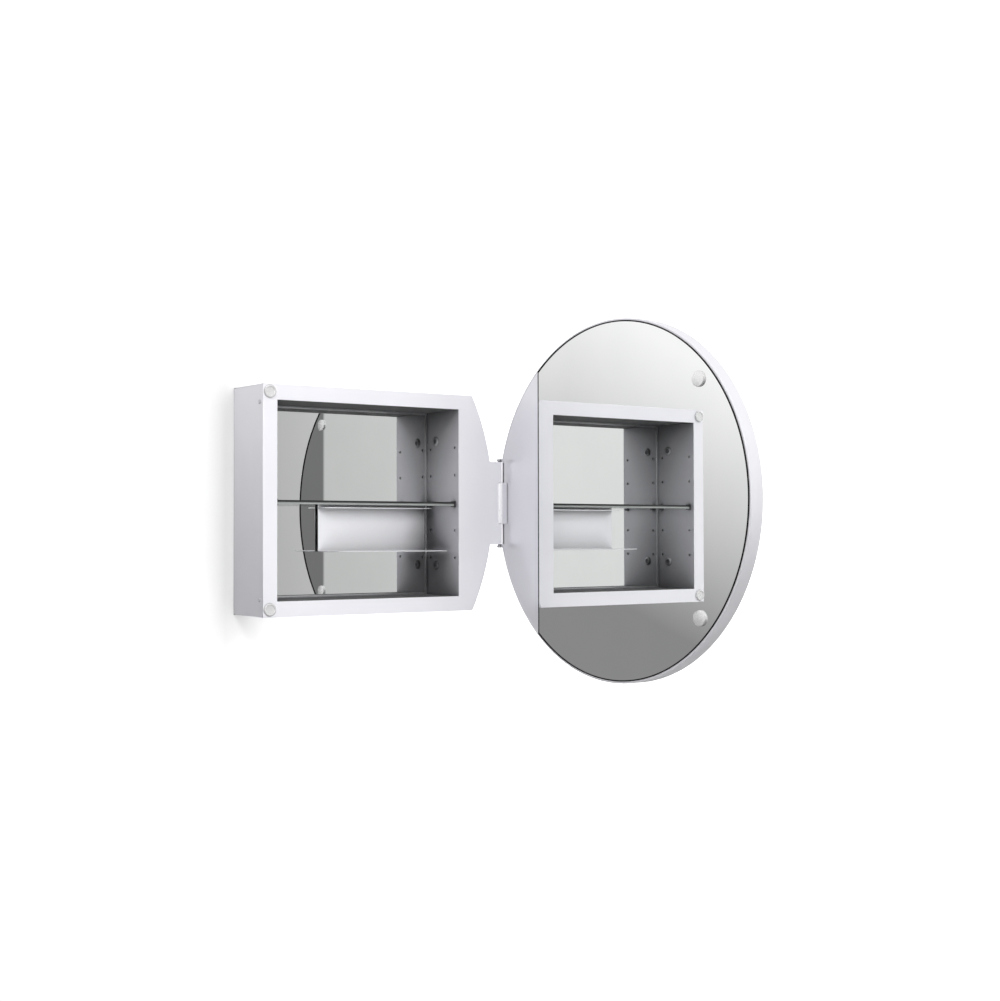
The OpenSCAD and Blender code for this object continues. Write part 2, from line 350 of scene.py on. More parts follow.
def level(loops, z0, thickness, edge):
    """A plate in the XY plane, from z0 upward."""
    return placed(plate(loops, thickness, edge), Vector((0, 0, z0)), X, Y, Z)


def along_x(outline, x0, x1, edge):
    """A profile in the YZ plane drawn out along X."""
    return sideways([outline], x0, x1 - x0, edge)


# ---------------------------------------------------------------- materials

# Noise keeps mostly between these two values
PATTERN_LOW, PATTERN_HIGH = 0.3, 0.7

# Grain's stretch: even, brushed along X, or brushed along Z
EVEN, ALONG_X, ALONG_Z = (1, 1, 1), (0.05, 1, 1), (1, 1, 0.05)

# Noise scales per metre, and how much of its tone a fully enclosed corner keeps under painted shade
GRAIN_SCALE, CLOUD_SCALE = 2600, 9
OPEN_LOW, OPEN_HIGH, CORNER_SHADE_TONE = 0.30, 0.80, 0.20

def node(tree, kind, **inputs):
    """A shader node with its sockets set by name; a socket given as an output is linked."""
    made = tree.nodes.new(kind)
    for name, value in inputs.items():
        socket = made.inputs[name.replace("_", " ")]
        if isinstance(value, bpy.types.NodeSocket):
            tree.links.new(value, socket)
        else:
            socket.default_value = value
    return made


def maths(tree, kind, a, b):
    """A math node on two values or outputs."""
    made = tree.nodes.new("ShaderNodeMath")
    made.operation = kind
    for socket, value in zip(made.inputs, (a, b)):
        if isinstance(value, bpy.types.NodeSocket):
            tree.links.new(value, socket)
        else:
            socket.default_value = value
    return made.outputs[0]


def ranged(tree, value, from_low, from_high, to_low, to_high):
    """The value mapped from one range to another and held at its ends."""
    made = node(tree, "ShaderNodeMapRange", Value=value)
    limits = {"From Min": from_low, "From Max": from_high, "To Min": to_low, "To Max": to_high}
    for name, number in limits.items():
        made.inputs[name].default_value = number
    return made.outputs["Result"]


def new_material(name):
    """An empty node material and its tree."""
    material = bpy.data.materials.new(name)
    material.use_nodes = True
    material.node_tree.nodes.clear()
    return material, material.node_tree


def close(tree, shader):
    """Links the finished shader to the material's output."""
    output = tree.nodes.new("ShaderNodeOutputMaterial")
    tree.links.new(shader, output.inputs["Surface"])


def finished(material, tree, **sockets):
    """The material, closed with a principled shader that has these sockets."""
    shader = node(tree, "ShaderNodeBsdfPrincipled", **sockets)
    close(tree, shader.outputs["BSDF"])
    return material


def object_place(tree):
    """Where a point is on its own object, which stays with it as the bodies move."""
    return tree.nodes.new("ShaderNodeTexCoord").outputs["Object"]


def mixed(tree, factor, first, second):
    """One shader where the factor is 0 and the other where it is 1."""
    made = node(tree, "ShaderNodeMixShader", Fac=factor)
    tree.links.new(first, made.inputs[1])
    tree.links.new(second, made.inputs[2])
    return made.outputs[0]


def noise(tree, coordinates, scale, detail, stretch=(1, 1, 1)):
    """Noise at a scale per metre, stretched along an axis for brushed grain."""
    mapping = node(tree, "ShaderNodeMapping", Vector=coordinates, Scale=stretch)
    made = node(tree, "ShaderNodeTexNoise", Vector=mapping.outputs[0], Scale=scale, Detail=detail)
    return made.outputs["Fac"]


def spread(tree, value, low, high):
    """A noise pattern turned into the range low to high."""
    return ranged(tree, value, PATTERN_LOW, PATTERN_HIGH, low, high)


def tinted(tree, value, dark, light):
    """A colour between dark and light, as the pattern goes from low to high."""
    ramp = node(tree, "ShaderNodeValToRGB", Fac=value)
    first, last = ramp.color_ramp.elements
    first.position, first.color = PATTERN_LOW, (*dark, 1)
    last.position, last.color = PATTERN_HIGH, (*light, 1)
    return ramp.outputs["Color"]


def shade(colour, amount):
    """The colour made darker or lighter, up to full white."""
    return tuple(min(1.0, c * amount) for c in colour)


def metal(name, colour, metallic, roughness, grain, grain_depth, mottle=0.02, corners=0, **fixed):
    """Sheet or turned metal: a stretched grain in its gloss and relief, and slow clouds in its tone. With
    corners, a distance, painted shade darkens its tone toward inner corners within that reach."""
    material, tree = new_material(name)
    place = object_place(tree)
    fine = noise(tree, place, GRAIN_SCALE, 4, grain)
    slow = noise(tree, place, CLOUD_SCALE, 2)
    bump = node(tree, "ShaderNodeBump", Strength=grain_depth, Distance=0.0004, Height=fine)
    tone = tinted(tree, slow, shade(colour, 1 - mottle), shade(colour, 1 + mottle))
    # Painted shade: an occlusion lookup darkens the tone near inner corners
    if corners:
        openness = node(tree, "ShaderNodeAmbientOcclusion", Distance=corners).outputs["AO"]
        depth = ranged(tree, openness, OPEN_LOW, OPEN_HIGH, CORNER_SHADE_TONE, 1.0)
        scaled = tree.nodes.new("ShaderNodeVectorMath")
        scaled.operation = "SCALE"
        tree.links.new(tone, scaled.inputs["Vector"])
        tree.links.new(depth, scaled.inputs["Scale"])
        tone = scaled.outputs["Vector"]
    return finished(
        material, tree,
        Base_Color=tone,
        Metallic=metallic,
        Roughness=spread(tree, fine, roughness - 0.04, roughness + 0.04),
        Normal=bump.outputs["Normal"],
        **fixed,
    )


def silvered(name):
    """Silvered glass: a sharp reflection in a silver whose tint barely varies."""
    material, tree = new_material(name)
    place = object_place(tree)
    slow = noise(tree, place, 14, 3)
    fine = noise(tree, place, 900, 2)
    both = maths(tree, "ADD", maths(tree, "MULTIPLY", slow, 0.8), maths(tree, "MULTIPLY", fine, 0.2))
    return finished(
        material, tree,
        Base_Color=tinted(tree, both, (0.900, 0.912, 0.905), (0.925, 0.932, 0.926)),
        Metallic=1.0,
        Roughness=0.0,
    )


def ground_glass(name):
    """The matt green edge of a sheet of glass."""
    material, tree = new_material(name)
    place = object_place(tree)
    fine = noise(tree, place, 1500, 3)
    bump = node(tree, "ShaderNodeBump", Strength=0.1, Distance=0.0002, Height=fine)
    return finished(
        material, tree,
        Base_Color=tinted(tree, fine, (0.035, 0.05, 0.048), (0.07, 0.09, 0.085)),
        Roughness=spread(tree, fine, 0.25, 0.4),
        Normal=bump.outputs["Normal"],
    )


def shelf_edge_painted_light(name, low, high):
    """The shelf's polished edge with painted light and shade: a painted highlight just above its lower arris,
    and painted shade, nearly black, in its upper half.
    """
    material, tree = new_material(name)
    place = object_place(tree)
    height = node(tree, "ShaderNodeSeparateXYZ", Vector=place).outputs["Z"]
    fine = noise(tree, place, 1500, 3)
    # Painted light and shade: the edge's green tone is banded by height
    ramp = node(tree, "ShaderNodeValToRGB", Fac=ranged(tree, height, low, high, 0, 1))
    ramp.color_ramp.elements[0].color = (0.10, 0.115, 0.11, 1)
    ramp.color_ramp.elements[1].color = (0.004, 0.005, 0.005, 1)
    for height_at, tone in ((0.18, 0.30), (0.40, 0.20), (0.62, 0.012)):
        stop = ramp.color_ramp.elements.new(height_at)
        stop.color = (tone * 0.95, tone, tone * 0.98, 1)
    return finished(
        material, tree,
        Base_Color=ramp.outputs["Color"],
        Roughness=spread(tree, fine, 0.25, 0.4),
    )


def clear_glass(name):
    """The clear faces of the glass shelf."""
    material, tree = new_material(name)
    place = object_place(tree)
    fine = noise(tree, place, 500, 2)
    return finished(
        material, tree,
        Base_Color=tinted(tree, fine, (0.93, 0.95, 0.945), (0.95, 0.965, 0.96)),
        Roughness=spread(tree, fine, 0.0, 0.02),
        IOR=1.5,
        Transmission_Weight=1.0,
    )


def rubber(name):
    """Matt black rubber with a fine moulded grain."""
    material, tree = new_material(name)
    place = object_place(tree)
    fine = noise(tree, place, 2200, 4)
    bump = node(tree, "ShaderNodeBump", Strength=0.2, Distance=0.0003, Height=fine)
    return finished(
        material, tree,
        Base_Color=tinted(tree, fine, (0.004, 0.004, 0.0045), (0.010, 0.010, 0.011)),
        Roughness=spread(tree, fine, 0.55, 0.75),
        Specular_IOR_Level=0.15,
        Normal=bump.outputs["Normal"],
    )


def fibreboard(name):
    """Pressed board with short fibres."""
    material, tree = new_material(name)
    place = object_place(tree)
    fibres = noise(tree, place, 700, 5, (1, 1, 4))
    bump = node(tree, "ShaderNodeBump", Strength=0.4, Distance=0.0005, Height=fibres)
    return finished(
        material, tree,
        Base_Color=tinted(tree, fibres, (0.022, 0.016, 0.012), (0.05, 0.038, 0.03)),
        Roughness=spread(tree, fibres, 0.7, 0.9),
        Normal=bump.outputs["Normal"],
    )


def zinc(name):
    """Galvanised sheet with its crystal spangle."""
    material, tree = new_material(name)
    place = object_place(tree)
    crystals = node(tree, "ShaderNodeTexVoronoi", Vector=place, Scale=130)
    tone = node(tree, "ShaderNodeSeparateColor", Color=crystals.outputs["Color"]).outputs["Red"]
    return finished(
        material, tree,
        Base_Color=tinted(tree, tone, (0.47, 0.49, 0.50), (0.53, 0.55, 0.56)),
        Metallic=0.85,
        Roughness=spread(tree, tone, 0.42, 0.48),
    )


LAVENDER = (0.83, 0.825, 0.87)
# Painted shade: corners darkens the satin steel in thin lines round the discs and knuckles
satin = metal("satin_steel", LAVENDER, 0.50, 0.42, ALONG_X, grain_depth=0.015, corners=0.007)
satin_upright = metal("satin_steel_upright_grain", LAVENDER, 0.75, 0.32, ALONG_Z, grain_depth=0.008,
                      corners=0.005)
# Painted shade: the liner is the frame's steel given a much darker tone, and it darkens further toward its
# corners
liner_shaded_metal = metal("liner_steel", (0.56, 0.555, 0.595), 0.5, 0.42, ALONG_Z, grain_depth=0.03,
                    corners=0.12)
# Painted shade: the liner's lids are the liner steel painted nearly black and matt
lid_shaded_metal = metal("liner_lid_steel_painted_shade", (0.11, 0.11, 0.112), 0.0, 0.6, ALONG_X, grain_depth=0.02,
                  Specular_IOR_Level=0.1)
clip_metal = metal("clip_steel", (0.12, 0.12, 0.125), 0.9, 0.30, EVEN, grain_depth=0.02)
# Painted shade: the rim is a dimmed copy of the satin steel
rim_shaded_metal = metal("satin_steel_rim_painted_shade", (0.76, 0.755, 0.79), 0.6, 0.45, EVEN, grain_depth=0.008)
# Painted shade: the mirror strips are a darker copy of the satin steel
trim_shaded_metal = metal("trim_steel_painted_shade", (0.50, 0.50, 0.52), 0.8, 0.3, EVEN, grain_depth=0.02)
polished = metal("polished_steel", (0.80, 0.80, 0.80), 0.7, 0.25, EVEN, grain_depth=0.01)
# Painted shade: the cup washers take the liner's darker tone and darken toward corners
cup_shaded_metal = metal("cup_steel_painted_shade", (0.52, 0.52, 0.54), 0.5, 0.42, EVEN, grain_depth=0.02, corners=0.12)
# Painted shade: corners darkens the pin heads where they meet the knuckles
chrome = metal("bright_steel", (0.55, 0.55, 0.57), 1.0, 0.16, EVEN, grain_depth=0.01, corners=0.004)
# Painted highlight: the knuckles are a paler copy of the frame's satin steel
barrel_highlight_metal = metal("satin_steel_barrel_painted_highlight", (0.94, 0.935, 0.96), 0.35, 0.30, ALONG_Z, grain_depth=0.008)
screw_metal = metal("screw_steel", (0.10, 0.10, 0.11), 1.0, 0.3, EVEN, grain_depth=0.04)
screw_pale = metal("screw_steel_pale", (0.62, 0.62, 0.66), 0.6, 0.35, EVEN, grain_depth=0.04)
# Painted shade: corners darkens the tray's top under the shelf and its folds
enamel = metal("white_enamel", (0.71, 0.71, 0.735), 0.35, 0.36, ALONG_X, grain_depth=0.015,
               mottle=0.008, corners=0.05)
mirror_face = silvered("mirror_silver")
glass_rim = ground_glass("glass_ground_edge")
glass_clear = clear_glass("shelf_glass")
black_rubber = rubber("black_rubber")
board = fibreboard("fibreboard")
galvanised = zinc("galvanised_steel")


# ---------------------------------------------------------------- cabinet

def frame_loops():
    """The face frame's outline: straight on three sides, swelling in an arc to the hinge tab."""
    swell = math.degrees(math.asin(half_h / lobe_r))
    tab = math.degrees(math.asin(tab_half / lobe_r))
    notch_x = hinge_axis.x - barrel_r - notch_gap
    tab_x = hinge_axis.x - barrel_bite
    outer = [(-half_w, half_h), (-half_w, -half_h)]
    outer += arc(lobe_x, 0, lobe_r, -swell, -tab, steps=24)
    outer += [(tab_x, -tab_half), (tab_x, -mid_knuckle / 2), (notch_x, -mid_knuckle / 2)]
    outer += [(notch_x, mid_knuckle / 2), (tab_x, mid_knuckle / 2), (tab_x, tab_half)]
    outer += arc(lobe_x, 0, lobe_r, tab, swell, steps=24)
    return [outer, rectangle(-in_w, -in_h, in_w, in_h, hole=True)]


# A piece with a knuckle lists the knuckle's material third
BARREL_SLOT = 2


def knuckle(z0, z1):
    """A rolled knuckle with softened ends and its bore for the pin."""
    bore, softened = pin_r + pin_play, 0.4 * MM
    section = rounded([(bore, z0), (barrel_r, z0), (barrel_r, z1), (bore, z1)], softened)
    barrel = turned(section, segments=64)
    for face in barrel.faces:
        face.material_index = BARREL_SLOT
    return placed(barrel, Vector((hinge_axis.x, hinge_axis.y, 0)), X, Y, Z)


def face_frame():
    """Front flange with its two knuckles, and four returns behind it that the casing screws bite into."""
    parts = [upright(frame_loops(), front_y, sheet, sheet_edge)]
    parts += [knuckle(mid_knuckle / 2, tab_half), knuckle(-tab_half, -mid_knuckle / 2)]
    hole_y = clip_columns[0]
    for return_x in (-half_w + sheet, half_w - 2 * sheet):
        for z in (-return_z, return_z):
            outline = rectangle(frame_back, z - return_w / 2, frame_back + return_depth, z + return_w / 2)
            hole = circle(hole_y, z, screw_r + screw_play, steps=24, hole=True)
            parts.append(sideways([rounded(outline, return_corner), hole], return_x, sheet, fine_edge))
    piece("face_frame_formed", merged(parts), [satin, satin, barrel_highlight_metal], "cabinet",
          "face_frame")


def casing():
    """Outer shell: lids over the full width, sides between them with their screw holes."""
    low, high = frame_back, 0
    for name, z0 in (("casing_top", half_h - sheet), ("casing_bottom", -half_h)):
        bm = level([rectangle(-half_w, low, half_w, high)], z0, sheet, sheet_edge)
        piece(name + "_sheet", bm, [satin, satin], "cabinet", name)
    hole_y = (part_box("casing_screws")[0].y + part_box("casing_screws")[1].y) / 2
    for name, x0 in (("casing_left", -half_w), ("casing_right", half_w - sheet)):
        loops = [rectangle(low, -half_h + sheet, high, half_h - sheet)]
        loops += [circle(hole_y, z, screw_r + screw_play, steps=24, hole=True)
                  for z in (-return_z, return_z)]
        bm = sideways(loops, x0, sheet, fine_edge)
        piece(name + "_sheet", bm, [satin_upright, satin_upright], "cabinet", name)


def liner():
    """Inner box: its sides carry two columns of clip holes and the mounting holes."""
    back_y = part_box("liner_left")[1].y
    for name, z0 in (("liner_top", in_h), ("liner_bottom", -in_h - sheet)):
        bm = level([rectangle(-in_w - sheet, frame_back, in_w + sheet, back_y)], z0, sheet, fine_edge)
        piece(name + "_sheet", bm, [lid_shaded_metal, lid_shaded_metal], "cabinet", name)
    screws_low, screws_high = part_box("mounting_screws")
    screw_y = (screws_low.y + screws_high.y) / 2
    screw_z = screws_high.z - (screws_high.y - screws_low.y) / 2
    for name, x0 in (("liner_left", -in_w - sheet), ("liner_right", in_w)):
        loops = [rectangle(frame_back, -in_h, back_y, in_h)]
        for y in clip_columns:
            loops += [circle(y, row * hole_row, clip_hole_r, steps=32, hole=True) for row in hole_rows]
        loops += [circle(screw_y, z, screw_r + mounting_play, steps=32, hole=True)
                  for z in (-screw_z, screw_z)]
        bm = sideways(loops, x0, sheet, fine_edge)
        piece(name + "_sheet", bm, [liner_shaded_metal, liner_shaded_metal], "cabinet", name)


def back():
    """Galvanised back panel, the mirror on it and the strips that hold the mirror's edges."""
    low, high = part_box("back_panel")
    bm = upright([rectangle(low.x, low.z, high.x, high.z)], low.y, high.y - low.y, fine_edge)
    piece("back_panel_sheet", bm, [galvanised, galvanised], "cabinet", "back_panel")
    low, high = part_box("back_mirror")
    bm = upright([rectangle(low.x, low.z, high.x, high.z)], low.y, high.y - low.y, glass_edge)
    piece("back_mirror_glass", bm, [glass_rim, mirror_face], "cabinet", "back_mirror")
    lip, leg, corner, end_edge = 0.6 * MM, 1.2 * MM, 0.15 * MM, 0.1 * MM
    for side, outward, run in (("top", Z, X), ("bottom", -Z, X), ("left", -X, Z), ("right", X, Z)):
        name = "mirror_strip_" + side
        low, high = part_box(name)
        span, length = sorted((high.x - low.x, high.z - low.z))
        depth = high.y - low.y
        profile = rounded([
            (0, 0), (span, 0), (span, depth), (span - leg, depth), (span - leg, lip), (0, lip)],
            corner, steps=3)
        start = Vector(((low.x + high.x) / 2, low.y, (low.z + high.z) / 2)) - outward * span / 2
        bm = placed(plate([profile], length, end_edge, steps=2), start - run * length / 2, outward, Y, run)
        piece(name + "_trim", bm, [trim_shaded_metal, trim_shaded_metal], "cabinet", name)


def cross_cut(bm, top, width, depth):
    """Cuts a tapered cross recess, a quarter turn apart, into the head whose top is at local z = top."""
    cutters = bmesh.new()
    half, arm, above = width / 2, width / 7, 0.5 * MM
    flare, taper = 1.1, 0.35
    for turn in (0, 90):
        corners = []
        for z, scale in ((top + above, flare), (top - depth, taper)):
            for sx, sy in ((-1, -1), (1, -1), (1, 1), (-1, 1)):
                p = Vector((sx * half * scale, sy * arm * (0.5 + scale / 2), z))
                corners.append(cutters.verts.new(Matrix.Rotation(math.radians(turn), 3, "Z") @ p))
        for face in ((0, 1, 2, 3), (7, 6, 5, 4), (0, 4, 5, 1), (1, 5, 6, 2), (2, 6, 7, 3), (3, 7, 4, 0)):
            cutters.faces.new([corners[i] for i in face])
    bmesh.ops.recalc_face_normals(cutters, faces=cutters.faces)
    head, cutter = (linked("cut", mesh_from(source, "cut")) for source in (bm, cutters))
    boolean = head.modifiers.new("recess", "BOOLEAN")
    boolean.operation, boolean.solver, boolean.object = "DIFFERENCE", "EXACT", cutter
    boolean.use_self = True
    graph = bpy.context.evaluated_depsgraph_get()
    result = bmesh.new()
    result.from_mesh(head.evaluated_get(graph).to_mesh())
    for helper in (head, cutter):
        bpy.data.objects.remove(helper)
    return result


def at_four(make, x, y, z):
    """Four copies at the corners of a rectangle, each with its local Z out of the given face."""
    parts = []
    for side in (-1, 1):
        for end in (-1, 1):
            outward = X * side * (1 if x > 0 else -1)
            parts.append(placed(make(), Vector((side * abs(x), y, end * z)), Y, Z, outward))
    return merged(parts)


def screws():
    """Mounting screws in their cup washers, inside, and low-headed casing screws, outside."""
    low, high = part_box("mounting_screws")
    y, head_r = (low.y + high.y) / 2, (high.y - low.y) / 2
    z = high.z - head_r

    def mounting():
        face, brim, neck, corner = 2.2 * MM, 1.9 * MM, 0.3 * MM, 0.12 * MM
        shank, tip, chamfer = -6.4 * MM, -7 * MM, 0.8 * MM
        section = rounded([
            (0, face, 0), (head_r, face), (head_r, brim), (screw_r, neck), (screw_r, shank),
            (screw_r - chamfer, tip), (0, tip, 0)], corner, steps=3)
        return cross_cut(turned(section, segments=40), face, width=3.6 * MM, depth=1.4 * MM)

    piece("mounting_screws_turned", at_four(mounting, -in_w, y, z), [screw_metal], "cabinet",
          "mounting_screws")

    def washer():
        bore, outer, crest_out, crest_in = 2.2 * MM, 7 * MM, 4.6 * MM, 3.9 * MM
        brim, crest, seat, corner = 0.6 * MM, 1.95 * MM, 0.25 * MM, 0.2 * MM
        section = rounded([
            (bore, 0), (outer, 0), (outer, brim), (crest_out, crest), (crest_in, crest), (bore, seat)],
            corner, steps=3)
        return turned(section, segments=48)

    piece("cup_washers_pressed", at_four(washer, -in_w, y, z), [cup_shaded_metal], "cabinet",
          "cup_washers")
    low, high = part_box("casing_screws")
    y = (low.y + high.y) / 2

    def casing_screw():
        face, flat_r, brim_r, brim = 1 * MM, 2.4 * MM, 3.2 * MM, 0.5 * MM
        tip, corner = -5 * MM, 0.25 * MM
        section = rounded([
            (0, face, 0), (flat_r, face), (brim_r, brim), (brim_r, 0), (screw_r, 0), (screw_r, tip),
            (0, tip, 0)], corner, steps=3)
        return cross_cut(turned(section, segments=40), face, width=2.8 * MM, depth=0.7 * MM)

    piece("casing_screws_turned", at_four(casing_screw, half_w, y, return_z), [screw_pale], "cabinet",
          "casing_screws")


def disc_pair(name, section, low, high, facing, material, body, on_door=False):
    """Two turned discs, one above the other, centred in x and at the ends in z of the given box."""
    radius = (high.x - low.x) / 2
    x = (low.x + high.x) / 2
    base_y = high.y if facing.y < 0 else low.y
    parts = []
    for z in (low.z + radius, high.z - radius):
        parts.append(placed(turned(section, segments=64), Vector((x, base_y, z)), X, Z, facing))
    piece(name + "_turned", merged(parts), [material], body, name, on_door=on_door)


def catch_magnets():
    """The frame's two catch discs, each with a raised lip round a shallow dish."""
    low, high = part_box("catch_magnets")
    r, t = (high.x - low.x) / 2, high.y - low.y
    lip, dish_edge, dish = 2.4 * MM, 3 * MM, 0.6 * MM
    foot, shoulder, corner = 0.1 * MM, 0.9 * MM, 0.3 * MM
    section = rounded([
        (0, 0, 0), (r, 0, foot), (r, t, shoulder), (r - lip, t), (r - dish_edge, t - dish), (0, t - dish, 0)],
        corner)
    disc_pair("catch_magnets", section, low, high, -Y, polished, "cabinet")


def glass_shelf():
    """Clear shelf with a polished edge; it throws no shadow, so that light passes it."""
    low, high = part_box("glass_shelf")
    corner = 2.5 * MM
    outline = rounded(rectangle(low.x, low.y, high.x, high.y), corner, steps=6)
    bm = level([outline], low.z, high.z - low.z, glass_edge)
    edge = shelf_edge_painted_light("glass_edge_painted_light", low.z, high.z)
    shelf = piece("glass_shelf_plate", bm, [edge, glass_clear], "cabinet", "glass_shelf")
    shelf.visible_shadow = False


def shelf_clips():
    """Four sprung clips: a slot for the glass, a rounded nose and a pin in the liner's hole."""
    low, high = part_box("shelf_clips")
    glass_low, glass_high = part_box("glass_shelf")
    wide, play, lip, nose, end_edge = 6 * MM, 0.1 * MM, 5.5 * MM, 0.45 * MM, 0.3 * MM
    stud_r, stud_length, stud_root, stud_end = clip_hole_r - 0.2 * MM, 7 * MM, 1 * MM, 0.4 * MM
    slot_x = glass_high.x + play
    parts = []
    for side in (-1, 1):
        for y in clip_columns:
            profile = rounded([
                (in_w - lip, low.z), (in_w, low.z), (in_w, high.z), (in_w - lip, high.z),
                (in_w - lip, glass_high.z + play), (slot_x, glass_high.z + play),
                (slot_x, glass_low.z - play), (in_w - lip, glass_low.z - play)], nose)
            clip = placed(plate([profile], wide, end_edge), Vector((0, y - wide / 2, 0)), X * side, Z, Y)
            section = rounded([(0, 0, 0), (stud_r, 0), (stud_r, stud_length), (0, stud_length, 0)], stud_end)
            root = Vector((side * (in_w - stud_root), y, 0))
            stud = placed(turned(section, segments=32), root, Y, Z, X * side)
            parts += [clip, stud]
    piece("shelf_clips_formed", merged(parts), [clip_metal, clip_metal], "cabinet",
          "shelf_clips")


def hinge_pin():
    """Pin through the three knuckles, with a waisted, domed head at each end."""
    low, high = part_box("hinge_pin")
    head_r = (high.x - low.x) / 2
    neck_r, neck, dome, corner = 3.3 * MM, 1.5 * MM, 0.9 * MM, 0.3 * MM
    half = [
        (head_r, -tab_half - neck), (neck_r, -tab_half - neck), (neck_r, -tab_half), (pin_r, -tab_half)]
    bottom = [(0, low.z, 0), (head_r, low.z, dome), *half]
    top = [(r, -z) for r, z in reversed(half)] + [(head_r, high.z, dome), (0, high.z, 0)]
    section = rounded(bottom + top, corner)
    bm = placed(turned(section, segments=48), Vector((hinge_axis.x, hinge_axis.y, 0)), X, Y, Z)
    piece("hinge_pin_turned", bm, [chrome], "cabinet", "hinge_pin")


def tray():
    """Folded tray: a hook over the glass, a panel behind it, a rest under it and the plate below."""
    low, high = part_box("organiser_tray")
    thick, hook, rest, glass_room = 1.2 * MM, 16 * MM, 21 * MM, 2.6 * MM
    outer_bend, inner_bend, tight_bend, hem, end_edge = 1.4 * MM, 0.8 * MM, 0.3 * MM, 0.5 * MM, 0.3 * MM
    rest_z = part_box("glass_shelf")[0].z - glass_room
    back_y, inside_y = high.y, high.y - thick
    outline = [
        (low.y, low.z, hem), (back_y, low.z, outer_bend), (back_y, high.z, outer_bend),
        (back_y - hook, high.z, hem), (back_y - hook, high.z - thick, hem),
        (inside_y, high.z - thick, tight_bend), (inside_y, rest_z, tight_bend),
        (back_y - rest, rest_z, hem), (back_y - rest, rest_z - thick, hem),
        (inside_y, rest_z - thick, tight_bend), (inside_y, low.z + thick, inner_bend),
        (low.y, low.z + thick, hem)]
    bm = along_x(rounded(outline), low.x, high.x, end_edge)
    piece("organiser_tray_folded", bm, [enamel, enamel], "tray", "organiser_tray")


# ---------------------------------------------------------------- door

def around_door(section):
    """A ring about the door's middle from its (radius, y) section."""
    return placed(turned(section, door_steps), Vector((0, 0, 0)), X, Z, Y)


def door_rim():
    """Rolled rim: a band with a lip over each of the door's two faces."""
    front_roll, back_roll, lip_roll, corner = 1.6 * MM, 0.9 * MM, 0.6 * MM, 0.3 * MM
    lip_r, band_r = door_r - rim_lip, door_r - rim_t
    section = rounded([
        (door_r, outer_y, front_roll), (door_r, inner_y, back_roll), (lip_r, inner_y, lip_roll),
        (lip_r, inner_y - lip_t), (band_r, inner_y - lip_t), (band_r, outer_y + lip_t),
        (lip_r, outer_y + lip_t), (lip_r, outer_y)], corner)
    piece("door_rim_rolled", around_door(section), [rim_shaded_metal], "door", "door_rim",
          on_door=True)


def door_faces():
    """Front mirror, inner mirror cut off straight beside the hinge strip, and the seal round it."""
    band_r = door_r - rim_t
    bm = upright([circle(0, 0, band_r, door_steps)], outer_y + lip_t, front_glass_t, glass_edge)
    piece("front_mirror_glass", bm, [glass_rim, mirror_face], "door", "front_mirror", on_door=True)
    cut = math.degrees(math.acos((strip_x - line_gap) / seal_r))
    floor_y, arris = inner_y - inner_glass_t, 0.3 * MM
    bm = upright([arc(0, 0, seal_r, cut, 360 - cut, steps=220)], floor_y, inner_glass_t, arris)
    piece("inner_mirror_glass", bm, [glass_rim, mirror_face], "door", "inner_mirror", on_door=True)
    crown, bead_edge = 0.5 * MM, 0.25 * MM
    section = rounded([
        (seal_r, floor_y), (band_r, floor_y), (band_r, inner_y - lip_t), (leaf_r, inner_y - lip_t),
        (leaf_r, inner_y + gasket_proud, crown), (seal_r, inner_y + gasket_proud, crown)])
    ring = swept(section, math.degrees(math.acos(strip_x / leaf_r)), steps=240)
    side, reach = strip_x - line_gap, leaf_r - gasket_w / 2
    low, high = math.asin(side / reach), math.asin(strip_x / reach)
    outline = [(side, -reach * math.cos(low)), (strip_x, -reach * math.cos(high)),
               (strip_x, reach * math.cos(high)), (side, reach * math.cos(low))]
    bead = upright([outline], floor_y, inner_glass_t + bead_proud, bead_edge)
    piece("door_gasket_moulded", merged([ring, bead]), [black_rubber, black_rubber], "door",
          "door_gasket", on_door=True)


def hinge_strip():
    """Steel leaf on the door's hinge side, with the leg and the middle knuckle."""
    near, far = mid_knuckle / 2 + relief_end, tab_half - relief_end
    cut, high, low = (math.degrees(a) for a in (
        math.acos(strip_x / leaf_r), math.asin(far / leaf_r), math.asin(near / leaf_r)))
    outline = arc(0, 0, leaf_r, -cut, -high, steps=40)
    outline += [(relief_x, -far), (relief_x, -near)]
    outline += arc(0, 0, leaf_r, -low, low, steps=16)
    outline += [(relief_x, near), (relief_x, far)]
    outline += arc(0, 0, leaf_r, high, cut, steps=40)
    leaf = upright([outline], inner_y - leaf_t, leaf_t, leaf_edge)
    half = mid_knuckle / 2 - knuckle_gap
    outline = rectangle(inner_y - leaf_t / 2, -half, hinge_axis.y - barrel_bite, half)
    leg = sideways([outline], hinge_axis.x - barrel_r, sheet, fine_edge)
    bm = merged([leaf, leg, knuckle(-half, half)])
    piece("hinge_strip_formed", bm, [satin_upright, satin_upright, barrel_highlight_metal], "door",
          "hinge_strip", on_door=True)


def strike_discs():
    """The door's two strike discs. The frame holds them with the door open, so their box is taken after
    they are turned closed again."""
    closed = door_turn.inverted()
    corners = [closed @ v.co for v in frame["nodes"]["strike_discs"].data.vertices]
    low = Vector([min(c[i] for c in corners) for i in range(3)])
    high = Vector([max(c[i] for c in corners) for i in range(3)])
    r, t = (high.x - low.x) / 2, high.y - low.y
    foot, shoulder = 0.1 * MM, 0.8 * MM
    section = rounded([(0, 0, 0), (r, 0, foot), (r, t, shoulder), (0, t, 0)])
    disc_pair("strike_discs", section, low, high, Y, polished, "door", on_door=True)


# ---------------------------------------------------------------- hidden and carried-over pieces

